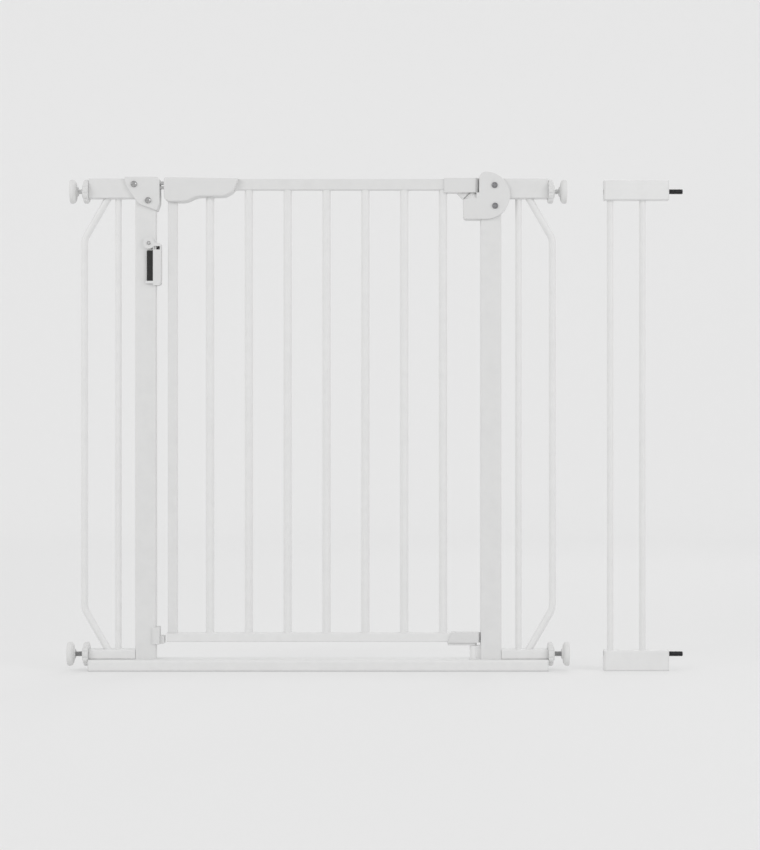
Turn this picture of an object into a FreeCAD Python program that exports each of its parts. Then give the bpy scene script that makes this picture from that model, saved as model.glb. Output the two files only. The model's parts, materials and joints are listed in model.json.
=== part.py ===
import FreeCAD, Part
import math
import os

V = FreeCAD.Vector

# Pressure-mounted safety gate with a swinging barred door and a loose extension panel.
# Millimetres. +X runs towards the hinge side, +Y away from the front, +Z up.
# The origin is the centre of the bottom rail's underside, on the floor.

# ---- overall sizes ----
GATE_WIDTH = 710.0  # over the ends of the stub tubes
GATE_HEIGHT = 761.0  # floor to the top of the posts
CLEAR_WIDTH = 502.0  # between the posts

# ---- frame tubes ----
TUBE_DEPTH = 20.0
TUBE_WALL = 1.2
TUBE_ROUND = 2.0
POST_WIDTH = 32.0
RAIL_HEIGHT = 18.0
RAIL_DEPTH = 40.0
RAIL_ROUND = 4.0
UPPER_STUB_HEIGHT = 30.5
LOWER_STUB_HEIGHT = 15.0
SIDE_BAR_DIA = 10.0
ROUND_WALL = 1.0  # wall of every round tube
SIDE_BAR_FROM_POST = 27.0  # post's outer face to the side bar's centre
BENT_TUBE_DIA = 11.0
BENT_TUBE_OUT = 7.5  # stub's end to the straight part's centre, outwards
BENT_TUBE_IN = 28.5  # stub's end to the bent ends' centre, inwards
BENT_TUBE_RISE = 62.5  # height of each slanting part
BEND_RADIUS = 28.0
CAP_RIM = 2.0
CAP_PLUG = 12.0

# ---- tension bolts ----
SPINDLE_DIA = 8.0
SPINDLE_INSIDE = 55.0
UPPER_BOLT_DROP = 19.5  # gate's top to the bolt's axis
BUSH_PLUG = 14.0
NUT_DIA = 37.0
NUT_WIDTH = 10.0
NUT_HUB_DIA = 22.0
NUT_LOBES = 12
NUT_LOBE_DIA = 7.0
PAD_DIA = 37.0
PAD_WIDTH = 12.0
PAD_RECESS = 2.0
PAD_BORE_DEPTH = 7.0
UPPER_THREAD_OUT = 7.0  # thread that shows between nut and pad
LOWER_THREAD_OUT = 11.0

# ---- door ----
DOOR_FLOOR_GAP = 26.5  # bottom rail's top to the door's underside
DOOR_TOP_DROP = 0.3  # door's top below the posts' top
DOOR_DEPTH = 14.0
DOOR_WALL = 1.2
DOOR_ROUND = 1.5
DOOR_TOP_RAIL_HEIGHT = 17.0
DOOR_BOTTOM_RAIL_HEIGHT = 14.0
STILE_WIDTH = 14.5
STILE_FROM_POST = 25.5  # post's inner face to the stile's centre
BAR_DIA = 13.0
BAR_PITCH = 60.2
FIRST_BAR_FROM_STILE = 57.5
LAST_BAR_FROM_HINGE = 46.0
RAIL_END_FROM_POST = 14.2  # post's inner face to the bottom rail's plugged end

# ---- hinge ----
HINGE_FROM_POST = 12.0  # post's inner face to the hinge axis
HINGE_PIN_DIA = 7.0
SLEEVE_DEPTH = 17.0
SLEEVE_LENGTH = 44.6  # hinge axis to the sleeve's free end
SLEEVE_SOCKET_END = 14.0  # hinge axis to the end of the rail's socket
UPPER_SLEEVE_TOP = 0.9  # above the gate's top
UPPER_SLEEVE_HEIGHT = 22.5
UPPER_KNUCKLE_RADIUS = 9.2  # about the hinge axis
LOWER_KNUCKLE_RADIUS = 11.6
LOWER_SLEEVE_FLOOR = 1.2  # below the door's bottom rail
LOWER_SLEEVE_LIP = 4.3
CONE_TOP_RADIUS = 6.0
CONE_FOOT_RADIUS = 15.2
CONE_TOP_DROP = 22.0  # gate's top to the cone's flat top
CONE_HEIGHT = 10.4
FIN_THICKNESS = 10.0
FIN_FREE_RADIUS = 25.4
FOOT_DIA = 11.8
FOOT_OFFSET = 1.2  # foot's centre from the hinge axis, towards the post
FOOT_WEB = 9.0
CASING_DISC_RADIUS = 36.6
CASING_DISC_FROM_POST = 8.3  # post's inner face to the disc's centre
CASING_DISC_DROP = 26.6
CASING_BLOCK_OUT = 26.6  # post's inner face to the block's free side
CASING_SHOULDER = 2.5  # post's inner face to the side that faces the sleeve

# ---- housings, handle and latch ----
HOUSING_DEPTH = 28.0
HOUSING_EDGE = 1.2
HANDLE_DEPTH = 30.0
HANDLE_EDGE = 3.0
SHELL_GAP = 0.1
STRIKE_LIP = 6.0  # post's inner face to the strike's inner side
TONGUE_TRAVEL = 9.0
TONGUE_REACH = 5.5  # how far the tongue stands into the strike
TONGUE_LENGTH = 55.5
FINGER_HEIGHT = 4.2
FINGER_SPACE = 3.0
FINGER_LENGTH = 16.0
TONGUE_DEPTH = 9.0
BUTTON_LENGTH = 26.0
BUTTON_DEPTH = 14.0
BUTTON_HEIGHT = 1.6
BUTTON_FROM_TIP = 28.5
STEM_LENGTH = 8.0
STEM_DEPTH = 6.0
STEM_SOCKET = 7.0
SPRING_LENGTH = 10.5
SPRING_DIA = 9.0
SPRING_WIRE = 1.6
SPRING_PEG_DIA = 3.2
SPRING_SEAT_LENGTH = 12.0

# ---- screws ----
THROUGH_SCREW_DIA = 4.4
DOME_HEAD_DIA = 10.0
DOME_HEAD_HEIGHT = 3.2
CROSS_HEAD_DIA = 9.4
CROSS_HEAD_HEIGHT = 2.4
SMALL_SCREW_DIA = 3.0
SMALL_HEAD_DIA = 6.0
SMALL_HEAD_HEIGHT = 1.6
CROSS_SLOT = 1.2
CROSS_DEPTH = 1.2

# ---- lower keeper and post fitting ----
KEEPER_LOW = 23.0  # above the bottom rail
KEEPER_HEIGHT = 26.4
KEEPER_SIDE = 5.0  # cheek along the post's front and back
KEEPER_CHEEK = 2.2
KEEPER_PLATE = 5.5
KEEPER_ARM_HEIGHT = 12.5
KEEPER_ARM_DEPTH = 16.0
KEEPER_ARM_LIFT = 0.5
FITTING_DROP = 99.5  # gate's top to the fitting's top
FITTING_HEIGHT = 65.9
FITTING_OUT = 8.0  # into the doorway
FITTING_ON_POST = 4.0  # cheek along the post's front
FITTING_CHEEK = 4.0
FITTING_BOSS_DIA = 17.6
FITTING_BOSS_FROM_EDGE = 10.5
STRIP_WIDTH = 9.4
STRIP_HEIGHT = 47.0
STRIP_THICKNESS = 3.0
STRIP_DROP = 12.0  # fitting's top to the strip's top
LUG_HEIGHT = 4.0
SLOT_DROP = 5.2  # fitting's top to the slot's top
SLOT_HEIGHT = 5.5

# ---- extension panel ----
PANEL_GAP = 87.0  # gate's stub end to the panel
PANEL_WIDTH = 100.0
PANEL_TOP_DROP = 2.5  # below the gate's top
PANEL_UPPER_HEIGHT = 30.5
PANEL_LOWER_HEIGHT = 31.5
PANEL_BAR_DIA = 10.0
PANEL_BAR_INSET = 10.0
PANEL_BAR_PITCH = 50.0
PANEL_PIN_OUT = 22.0
PANEL_PIN_ROOT_DIA = 7.0  # inside the plug
PANEL_PLUG = 24.0

# ---- clearances ----
RUN = 0.05  # running fit of a pin in its bore, radial
SLIDE = 0.3  # between a moving piece and what it passes
SEAT = 0.1  # between a fitted piece and its tube

# ---- places that follow ----
half_gate = GATE_WIDTH / 2
post_in = CLEAR_WIDTH / 2
post_out = post_in + POST_WIDTH
half_tube = TUBE_DEPTH / 2
half_rail = RAIL_DEPTH / 2
stub_end = half_gate - CAP_RIM
upper_stub_low = GATE_HEIGHT - UPPER_STUB_HEIGHT
lower_stub_top = RAIL_HEIGHT + LOWER_STUB_HEIGHT
upper_bolt_z = GATE_HEIGHT - UPPER_BOLT_DROP
lower_bolt_z = RAIL_HEIGHT + LOWER_STUB_HEIGHT / 2
hinge_x = post_in - HINGE_FROM_POST
stile_x = -post_in + STILE_FROM_POST
door_top = GATE_HEIGHT - DOOR_TOP_DROP
door_top_low = door_top - DOOR_TOP_RAIL_HEIGHT
door_low = RAIL_HEIGHT + DOOR_FLOOR_GAP
door_low_top = door_low + DOOR_BOTTOM_RAIL_HEIGHT
half_door = DOOR_DEPTH / 2
half_sleeve = SLEEVE_DEPTH / 2
half_housing = HOUSING_DEPTH / 2
half_handle = HANDLE_DEPTH / 2
socket_end = hinge_x - SLEEVE_SOCKET_END
door_rail_left = stile_x - STILE_WIDTH / 2
door_rail_end = -post_in + RAIL_END_FROM_POST
cone_top = GATE_HEIGHT - CONE_TOP_DROP
cone_foot = cone_top - CONE_HEIGHT
first_bar_x = stile_x + FIRST_BAR_FROM_STILE
last_bar_x = hinge_x - LAST_BAR_FROM_HINGE
bar_count = int(round((last_bar_x - first_bar_x) / BAR_PITCH)) + 1
bar_step = (last_bar_x - first_bar_x) / (bar_count - 1)
bar_places = [first_bar_x + i * bar_step for i in range(bar_count)]
tongue_tip = -post_in + 0.5
tongue_low = door_top_low + DOOR_WALL + SLIDE
tongue_top = door_top - DOOR_WALL - SLIDE
tongue_end = tongue_tip + TONGUE_LENGTH
panel_left = half_gate + PANEL_GAP
panel_right = panel_left + PANEL_WIDTH
panel_top = GATE_HEIGHT - PANEL_TOP_DROP


# ---- helpers ----
def block(x0, x1, y0, y1, z0, z1):
    """A box between two corners."""
    return Part.makeBox(x1 - x0, y1 - y0, z1 - z0, V(x0, y0, z0))


def cylinder(x, y, z, radius, length, along):
    """A cylinder from a point, along a direction."""
    return Part.makeCylinder(radius, length, V(x, y, z), V(*along))


def round_tube(x, z0, z1, radius):
    """An upright round tube."""
    outer = cylinder(x, 0, z0, radius, z1 - z0, (0, 0, 1))
    return outer.cut(cylinder(x, 0, z0, radius - ROUND_WALL, z1 - z0, (0, 0, 1)))


def rounded(shape, axis, radius):
    """Round the straight edges that run along one axis (0, 1 or 2)."""
    picked = []
    for edge in shape.Edges:
        ends = [v.Point for v in edge.Vertexes]
        step = ends[1] - ends[0]
        length = step.Length
        if abs(abs(step[axis]) - length) < 1e-6:
            picked.append(edge)
    return shape.makeFillet(radius, picked)


def tube(x0, x1, y0, y1, z0, z1, axis, wall, radius):
    """A rectangular tube along one axis, open at both ends."""
    low = [x0, y0, z0]
    high = [x1, y1, z1]
    outer = rounded(block(low[0], high[0], low[1], high[1], low[2], high[2]), axis, radius)
    for i in range(3):
        if i != axis:
            low[i] += wall
            high[i] -= wall
    inner = block(low[0], high[0], low[1], high[1], low[2], high[2])
    inner = rounded(inner, axis, max(radius - wall, 0.3))
    return outer.cut(inner)


def profile(corners):
    """A closed outline in the XZ plane from (x, z, corner radius) points."""
    count = len(corners)
    points = [V(x, 0, z) for x, z, r in corners]
    starts = []
    ends = []
    arcs = []
    for i in range(count):
        here = points[i]
        back = (points[i - 1] - here).normalize()
        ahead = (points[(i + 1) % count] - here).normalize()
        radius = corners[i][2]
        half = back.getAngle(ahead) / 2
        if radius <= 0 or abs(half - math.pi / 2) < 1e-6:
            starts.append(here)
            ends.append(here)
            arcs.append(None)
            continue
        reach = radius / math.tan(half)
        start = here + back * reach
        end = here + ahead * reach
        inward = (back + ahead).normalize()
        middle = here + inward * (radius / math.sin(half) - radius)
        starts.append(start)
        ends.append(end)
        arcs.append(Part.Arc(start, middle, end).toShape())
    edges = []
    for i in range(count):
        if arcs[i] is not None:
            edges.append(arcs[i])
        following = starts[(i + 1) % count]
        if (following - ends[i]).Length > 1e-6:
            edges.append(Part.LineSegment(ends[i], following).toShape())
    return Part.Face(Part.Wire(Part.__sortEdges__(edges)))


def plate(face, y0, y1):
    """An outline in the XZ plane given a thickness from y0 to y1."""
    solid = face.extrude(V(0, y1 - y0, 0))
    solid.translate(V(0, y0, 0))
    return solid


def turned(points, x, y):
    """A solid turned about the vertical line through x, y, from (radius, z) points."""
    line = [V(x + r, y, z) for r, z in points]
    face = Part.Face(Part.makePolygon(line + [line[0]]))
    return face.revolve(V(x, y, 0), V(0, 0, 1), 360)


def turned_along(points, origin, axis):
    """A solid turned about a level line: points are (distance along it, radius)."""
    line = V(*axis)
    line.normalize()
    face = Part.Face(Part.makePolygon([V(r, 0, d) for d, r in points + points[:1]]))
    solid = face.revolve(V(0, 0, 0), V(0, 0, 1), 360)
    solid.Placement = FreeCAD.Placement(V(*origin), FreeCAD.Rotation(V(0, 0, 1), line))
    return solid


def shell(face, depth, edge, side):
    """One half of a moulded housing, with a softened outer edge; side is -1 front, +1 back."""
    near = SHELL_GAP / 2
    body = face.extrude(V(0, depth - near, 0))
    body.translate(V(0, near, 0))
    picked = []
    for e in body.Edges:
        if all(abs(v.Point.y - depth) < 1e-6 for v in e.Vertexes):
            picked.append(e)
    body = body.makeFillet(edge, picked)
    if side < 0:
        body = body.mirror(V(0, 0, 0), V(0, 1, 0))
    return body


def cross(x, y, z, size, depth):
    """The cross recess of a screw head that faces the front."""
    wide = block(x - size / 2, x + size / 2, y, y + depth, z - CROSS_SLOT / 2, z + CROSS_SLOT / 2)
    tall = block(x - CROSS_SLOT / 2, x + CROSS_SLOT / 2, y, y + depth, z - size / 2, z + size / 2)
    return wide.fuse(tall)


def save(name, *solids):
    """Write one node."""
    if len(solids) == 1:
        shape = solids[0]
    else:
        shape = Part.makeCompound(list(solids))
    if not shape.isValid():
        raise ValueError(name + " is not valid")
    shape.exportStep("parts/" + name + ".step")


os.makedirs("parts", exist_ok=True)

# ---- screw places: (x, z) ----
strike_screws = [(-post_out - 1.4, GATE_HEIGHT - 9.2), (-post_in - 11.6, GATE_HEIGHT - 34.4)]
casing_screws = [(post_in + 21.2, GATE_HEIGHT - 10.8), (post_in + 22.0, GATE_HEIGHT - 42.7)]
handle_screws = [(stile_x + 20.5, GATE_HEIGHT - 28.6), (stile_x + 75.5, GATE_HEIGHT - 23.0)]
boss_x = -post_in - FITTING_BOSS_FROM_EDGE
boss_z = GATE_HEIGHT - FITTING_DROP - 0.7

through_holes = []
for x, z in strike_screws + casing_screws:
    through_holes.append(cylinder(x, -half_rail, z, THROUGH_SCREW_DIA / 2 + SEAT, RAIL_DEPTH, (0, 1, 0)))
holes = Part.makeCompound(through_holes)

# ---- frame tubes ----
bottom_rail = tube(-stub_end, stub_end, -half_rail, half_rail, 0, RAIL_HEIGHT, 0, TUBE_WALL, RAIL_ROUND)
save("bottom_rail", bottom_rail)

caps = []
for side in (-1, 1):
    rim = block(stub_end, half_gate, -half_rail, half_rail, 0, RAIL_HEIGHT)
    rim = rounded(rim, 0, RAIL_ROUND)
    inset = TUBE_WALL + SEAT
    plug = block(
        stub_end - CAP_PLUG, stub_end, -half_rail + inset, half_rail - inset, inset, RAIL_HEIGHT - inset
    )
    cap = rim.fuse(rounded(plug, 0, RAIL_ROUND - TUBE_WALL))
    hollow = block(
        stub_end - CAP_PLUG, stub_end, -half_rail + 2 * inset, half_rail - 2 * inset, 2 * inset,
        RAIL_HEIGHT - 2 * inset,
    )
    cap = cap.cut(hollow)
    if side < 0:
        cap = cap.mirror(V(0, 0, 0), V(1, 0, 0))
    caps.append(cap)
save("bottom_rail_end_caps", *caps)

for name, x0, x1 in (("latch_post", -post_out, -post_in), ("hinge_post", post_in, post_out)):
    post = tube(x0, x1, -half_tube, half_tube, RAIL_HEIGHT, GATE_HEIGHT, 2, TUBE_WALL, TUBE_ROUND)
    save(name, post.cut(holes))

stub_levels = {
    "upper": (upper_stub_low, GATE_HEIGHT, upper_bolt_z),
    "lower": (RAIL_HEIGHT, lower_stub_top, lower_bolt_z),
}
for level, (z0, z1, bolt_z) in stub_levels.items():
    bushes = []
    for word, side in (("left", -1), ("right", 1)):
        x0, x1 = sorted((side * post_out, side * stub_end))
        stub = tube(x0, x1, -half_tube, half_tube, z0, z1, 0, TUBE_WALL, TUBE_ROUND)
        save(level + "_stub_tube_" + word, stub.cut(holes))
        rim = block(stub_end, half_gate, -half_tube, half_tube, z0, z1)
        rim = rounded(rim, 0, TUBE_ROUND)
        inset = TUBE_WALL + SEAT
        plug = block(
            stub_end - BUSH_PLUG, stub_end, -half_tube + inset, half_tube - inset, z0 + inset, z1 - inset
        )
        bush = rim.fuse(rounded(plug, 0, 0.5))
        bore = cylinder(
            stub_end - BUSH_PLUG - 1, 0, bolt_z, SPINDLE_DIA / 2 + RUN, BUSH_PLUG + CAP_RIM + 2, (1, 0, 0)
        )
        bush = bush.cut(bore)
        if side < 0:
            bush = bush.mirror(V(0, 0, 0), V(1, 0, 0))
        bushes.append(bush)
    save(level + "_bolt_bushes", *bushes)

side_bar_x = post_out + SIDE_BAR_FROM_POST
bent_out = half_gate + BENT_TUBE_OUT
bent_in = half_gate - BENT_TUBE_IN
for word, side in (("left", -1), ("right", 1)):
    save("side_bar_" + word, round_tube(side * side_bar_x, lower_stub_top, upper_stub_low, SIDE_BAR_DIA / 2))

    # the bent tube runs on past the stubs and is trimmed to them
    slope = (bent_out - bent_in) / BENT_TUBE_RISE
    extra = 12.0
    route = [
        V(side * (bent_in - slope * extra), 0, lower_stub_top - extra),
        V(side * bent_out, 0, lower_stub_top + BENT_TUBE_RISE),
        V(side * bent_out, 0, upper_stub_low - BENT_TUBE_RISE),
        V(side * (bent_in - slope * extra), 0, upper_stub_low + extra),
    ]
    turn = math.atan(slope)
    reach = BEND_RADIUS * math.tan(turn / 2)
    edges = []
    last = route[0]
    for i in (1, 2):
        back = (route[i - 1] - route[i]).normalize()
        ahead = (route[i + 1] - route[i]).normalize()
        start = route[i] + back * reach
        end = route[i] + ahead * reach
        inward = (back + ahead).normalize()
        middle = route[i] + inward * (BEND_RADIUS / math.cos(turn / 2) - BEND_RADIUS)
        edges.append(Part.LineSegment(last, start).toShape())
        edges.append(Part.Arc(start, middle, end).toShape())
        last = end
    edges.append(Part.LineSegment(last, route[3]).toShape())
    path = Part.Wire(edges)
    skins = []
    for radius in (BENT_TUBE_DIA / 2, BENT_TUBE_DIA / 2 - ROUND_WALL):
        ring = Part.Wire(Part.makeCircle(radius, route[0], route[1] - route[0]))
        skins.append(path.makePipeShell([ring], True, False))
    bent = skins[0].cut(skins[1])
    between = block(-GATE_WIDTH, GATE_WIDTH, -half_rail, half_rail, lower_stub_top, upper_stub_low)
    save("bent_side_tube_" + word, bent.common(between))

# ---- tension bolts ----
bolts = {
    "upper_left": (-1, upper_bolt_z, UPPER_THREAD_OUT),
    "upper_right": (1, upper_bolt_z, UPPER_THREAD_OUT),
    "lower_left": (-1, lower_bolt_z, LOWER_THREAD_OUT),
    "lower_right": (1, lower_bolt_z, LOWER_THREAD_OUT),
}
for word, (side, z, thread_out) in bolts.items():
    along = (side, 0, 0)
    nut_start = half_gate + SLIDE
    pad_start = nut_start + NUT_WIDTH + thread_out
    nut_points = [
        (0, NUT_DIA / 2 - 1.5),
        (1.5, NUT_DIA / 2),
        (NUT_WIDTH - 3.5, NUT_DIA / 2),
        (NUT_WIDTH - 2, NUT_DIA / 2 - 2),
        (NUT_WIDTH - 2, NUT_HUB_DIA / 2),
        (NUT_WIDTH, NUT_HUB_DIA / 2 - 1),
        (NUT_WIDTH, SPINDLE_DIA / 2 + RUN),
        (0, SPINDLE_DIA / 2 + RUN),
    ]
    nut = turned_along(nut_points, (side * nut_start, 0, z), along)
    dips = []
    for i in range(NUT_LOBES):
        angle = 2 * math.pi * (i + 0.5) / NUT_LOBES
        ring = NUT_DIA / 2 + NUT_LOBE_DIA * 0.32
        dip_y = ring * math.cos(angle)
        dip_z = z + ring * math.sin(angle)
        dips.append(cylinder(side * (nut_start - 1), dip_y, dip_z, NUT_LOBE_DIA / 2, NUT_WIDTH + 2, along))
    nut = nut.cut(dips)
    save("hand_nut_" + word, nut)

    spindle_start = half_gate - SPINDLE_INSIDE
    spindle_end = pad_start + PAD_BORE_DEPTH - SEAT
    spindle_points = [
        (0, 0),
        (0, SPINDLE_DIA / 2 - 1),
        (1, SPINDLE_DIA / 2),
        (spindle_end - spindle_start, SPINDLE_DIA / 2),
        (spindle_end - spindle_start, 0),
    ]
    save("spindle_" + word, turned_along(spindle_points, (side * spindle_start, 0, z), along))

    pad_points = [
        (0, SPINDLE_DIA / 2 + RUN),
        (0, 7.0),
        (2.0, 8.5),
        (3.0, PAD_DIA / 2 - 4),
        (5.0, PAD_DIA / 2 - 1),
        (7.0, PAD_DIA / 2),
        (PAD_WIDTH - 1, PAD_DIA / 2),
        (PAD_WIDTH, PAD_DIA / 2 - 1),
        (PAD_WIDTH, 0),
        (PAD_BORE_DEPTH, 0),
        (PAD_BORE_DEPTH, SPINDLE_DIA / 2 + RUN),
    ]
    save("wall_pad_" + word, turned_along(pad_points, (side * pad_start, 0, z), along))

# ---- hinge casing, its pins and foot ----
disc_x = post_in + CASING_DISC_FROM_POST
disc_z = GATE_HEIGHT - CASING_DISC_DROP
disc_r = CASING_DISC_RADIUS
shoulder_x = post_in - CASING_SHOULDER
block_x = post_in - CASING_BLOCK_OUT
disc_top = disc_z + disc_r
disc_low = disc_z - disc_r
diagonal = disc_r / math.sqrt(2)
casing_edges = [
    Part.LineSegment(V(shoulder_x, 0, cone_top), V(shoulder_x, 0, disc_top - 8.5)).toShape(),
    Part.Arc(
        V(shoulder_x, 0, disc_top - 8.5), V(shoulder_x + 3.2, 0, disc_top - 2.7), V(disc_x, 0, disc_top)
    ).toShape(),
    Part.Arc(
        V(disc_x, 0, disc_top), V(disc_x + diagonal, 0, disc_z + diagonal), V(disc_x + disc_r, 0, disc_z)
    ).toShape(),
    Part.Arc(
        V(disc_x + disc_r, 0, disc_z), V(disc_x + diagonal, 0, disc_z - diagonal), V(disc_x, 0, disc_low)
    ).toShape(),
    Part.LineSegment(V(disc_x, 0, disc_low), V(block_x + 5, 0, disc_low)).toShape(),
    Part.Arc(
        V(block_x + 5, 0, disc_low), V(block_x + 1.46, 0, disc_low + 1.46), V(block_x, 0, disc_low + 5)
    ).toShape(),
    Part.LineSegment(V(block_x, 0, disc_low + 5), V(block_x, 0, cone_top)).toShape(),
    Part.LineSegment(V(block_x, 0, cone_top), V(shoulder_x, 0, cone_top)).toShape(),
]
casing_face = Part.Face(Part.Wire(casing_edges))
frame_space = block(
    post_in - SEAT, post_out + SEAT, -half_tube - SEAT, half_tube + SEAT, 0, GATE_HEIGHT + SEAT
)
stub_space = block(
    post_out - 1, half_gate, -half_tube - SEAT, half_tube + SEAT, upper_stub_low - SEAT, GATE_HEIGHT + SEAT
)
sweep_space = turned(
    [
        (0, cone_top),
        (CONE_TOP_RADIUS, cone_top),
        (CONE_FOOT_RADIUS, cone_foot),
        (FIN_FREE_RADIUS + 3, cone_foot),
        (FIN_FREE_RADIUS + 3, GATE_HEIGHT + 20),
        (0, GATE_HEIGHT + 20),
    ],
    hinge_x,
    0,
)
# the fin never turns past this line, so the flat top runs on to the shoulder
fin_edge = hinge_x + FIN_THICKNESS / 2 + SLIDE
flat_end = block(fin_edge, shoulder_x + 1, -60, 60, cone_foot - 1, cone_top)
before_shoulder = block(block_x - 30, shoulder_x, -60, 60, cone_foot - 1, GATE_HEIGHT + 30)
sweep_space = sweep_space.common(before_shoulder).cut(flat_end)
upper_pin_low = GATE_HEIGHT - 46.0
upper_pin_top = GATE_HEIGHT - 4.5
pin_r = HINGE_PIN_DIA / 2
pin_space = cylinder(hinge_x, 0, upper_pin_low - SEAT, pin_r + SEAT / 5, 60, (0, 0, 1))
for word, side in (("front", -1), ("back", 1)):
    half = shell(casing_face, half_housing, HOUSING_EDGE, side)
    half = half.cut([frame_space, stub_space, sweep_space, pin_space, holes])
    save("hinge_casing_" + word, half)
upper_pin = cylinder(hinge_x, 0, upper_pin_low, pin_r, upper_pin_top - upper_pin_low, (0, 0, 1))
save("upper_hinge_pin", upper_pin)

foot_x = hinge_x + FOOT_OFFSET
sleeve_low = door_low - LOWER_SLEEVE_FLOOR
foot_top = sleeve_low - LOWER_SLEEVE_LIP - SLIDE
foot = cylinder(foot_x, 0, RAIL_HEIGHT, FOOT_DIA / 2, foot_top - RAIL_HEIGHT, (0, 0, 1))
web = block(foot_x, post_in, -FOOT_WEB / 2, FOOT_WEB / 2, RAIL_HEIGHT, foot_top)
lower_pin_low = RAIL_HEIGHT + 3.0
lower_pin_top = door_low_top - 5.0
foot_bore = cylinder(hinge_x, 0, lower_pin_low, pin_r + SEAT / 5, 60, (0, 0, 1))
save("hinge_foot", foot.fuse(web).cut(foot_bore))
lower_pin = cylinder(hinge_x, 0, lower_pin_low, pin_r, lower_pin_top - lower_pin_low, (0, 0, 1))
save("lower_hinge_pin", lower_pin)

# ---- latch strike on the latch post ----
strike_face = profile(
    [
        (-post_in - 48.8, GATE_HEIGHT + 2.2, 2.0),
        (-post_in + STRIKE_LIP, GATE_HEIGHT + 2.2, 6.0),
        (-post_in + STRIKE_LIP, GATE_HEIGHT - 38.0, 10.0),
        (-post_in + 1.8, GATE_HEIGHT - 50.2, 2.0),
        (-post_in - 27.0, GATE_HEIGHT - 39.5, 18.0),
        (-post_in - 45.0, GATE_HEIGHT - 12.0, 20.0),
    ]
)
left_post_space = frame_space.mirror(V(0, 0, 0), V(1, 0, 0))
left_stub_space = stub_space.mirror(V(0, 0, 0), V(1, 0, 0))
finger_low = tongue_low + 0.4
finger_top = finger_low + 2 * FINGER_HEIGHT + FINGER_SPACE
strike_pocket = block(
    -post_in - 1,
    -post_in + STRIKE_LIP + 10,
    -TONGUE_DEPTH / 2 - SLIDE,
    TONGUE_DEPTH / 2 + SLIDE,
    finger_low - SLIDE,
    finger_top + SLIDE,
)
for word, side in (("front", -1), ("back", 1)):
    half = shell(strike_face, half_housing, HOUSING_EDGE, side)
    half = half.cut([left_post_space, left_stub_space, strike_pocket, holes])
    save("latch_strike_" + word, half)

# ---- through screws, one solid each, with a barrel nut formed at the back ----
domed = []
for x, z in strike_screws:
    face_y = -half_housing
    points = [(0, 0), (0, DOME_HEAD_DIA * 0.26), (1.0, DOME_HEAD_DIA * 0.40), (2.2, DOME_HEAD_DIA * 0.48)]
    points += [(DOME_HEAD_HEIGHT - SEAT, DOME_HEAD_DIA / 2), (DOME_HEAD_HEIGHT - SEAT, THROUGH_SCREW_DIA / 2)]
    end = DOME_HEAD_HEIGHT + HOUSING_DEPTH
    points += [(end + SEAT, THROUGH_SCREW_DIA / 2), (end + SEAT, DOME_HEAD_DIA / 2)]
    points += [(end + 1.6, DOME_HEAD_DIA / 2 - 0.8), (end + 1.6, 0)]
    domed.append(turned_along(points, (x, face_y - DOME_HEAD_HEIGHT, z), (0, 1, 0)))
save("strike_through_screws", *domed)

crossed = []
for x, z in casing_screws:
    face_y = -half_housing
    points = [(0, 0), (0, CROSS_HEAD_DIA * 0.36), (0.7, CROSS_HEAD_DIA * 0.46)]
    points += [(CROSS_HEAD_HEIGHT - SEAT, CROSS_HEAD_DIA / 2)]
    points += [(CROSS_HEAD_HEIGHT - SEAT, THROUGH_SCREW_DIA / 2)]
    end = CROSS_HEAD_HEIGHT + HOUSING_DEPTH
    points += [(end + SEAT, THROUGH_SCREW_DIA / 2), (end + SEAT, CROSS_HEAD_DIA / 2)]
    points += [(end + 1.6, CROSS_HEAD_DIA / 2 - 0.8), (end + 1.6, 0)]
    screw = turned_along(points, (x, face_y - CROSS_HEAD_HEIGHT, z), (0, 1, 0))
    recess = cross(x, face_y - CROSS_HEAD_HEIGHT, z, CROSS_HEAD_DIA * 0.55, CROSS_DEPTH)
    crossed.append(screw.cut(recess))
save("casing_through_screws", *crossed)

# ---- lower keeper, clipped round the latch post ----
keeper_z0 = RAIL_HEIGHT + KEEPER_LOW
keeper = block(
    -post_in - KEEPER_SIDE,
    -post_in + KEEPER_PLATE,
    -half_tube - KEEPER_CHEEK,
    half_tube + KEEPER_CHEEK,
    keeper_z0,
    keeper_z0 + KEEPER_HEIGHT,
)
keeper = rounded(keeper, 0, 1.0)
arm_x = door_rail_end - 1.0
arm_z0 = keeper_z0 + KEEPER_ARM_LIFT
arm = block(
    -post_in + KEEPER_PLATE - 1, arm_x, -KEEPER_ARM_DEPTH / 2, KEEPER_ARM_DEPTH / 2, arm_z0,
    arm_z0 + KEEPER_ARM_HEIGHT,
)
arm = rounded(arm, 1, 1.5)
keeper = keeper.fuse(arm).cut(left_post_space)
save("lower_keeper", keeper)

# ---- post fitting below the strike ----
fit_top = GATE_HEIGHT - FITTING_DROP
fit_low = fit_top - FITTING_HEIGHT
front_y = -half_tube
side_plate = profile(
    [
        (-post_in - FITTING_ON_POST, fit_low, 1.0),
        (-post_in + FITTING_OUT, fit_low, 5.0),
        (-post_in + FITTING_OUT, fit_top, 4.0),
        (-post_in - FITTING_ON_POST, fit_top, 1.0),
    ]
)
fitting = plate(side_plate, front_y - FITTING_CHEEK, half_tube - 4)
boss = cylinder(boss_x, front_y - FITTING_CHEEK, boss_z, FITTING_BOSS_DIA / 2, FITTING_CHEEK, (0, 1, 0))
lug = block(
    boss_x - STRIP_WIDTH / 2,
    -post_in,
    front_y - FITTING_CHEEK,
    front_y,
    fit_top - STRIP_DROP - STRIP_HEIGHT - LUG_HEIGHT,
    fit_top - STRIP_DROP - STRIP_HEIGHT - SEAT,
)
fitting = fitting.fuse([boss, lug]).cut(left_post_space)
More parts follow.
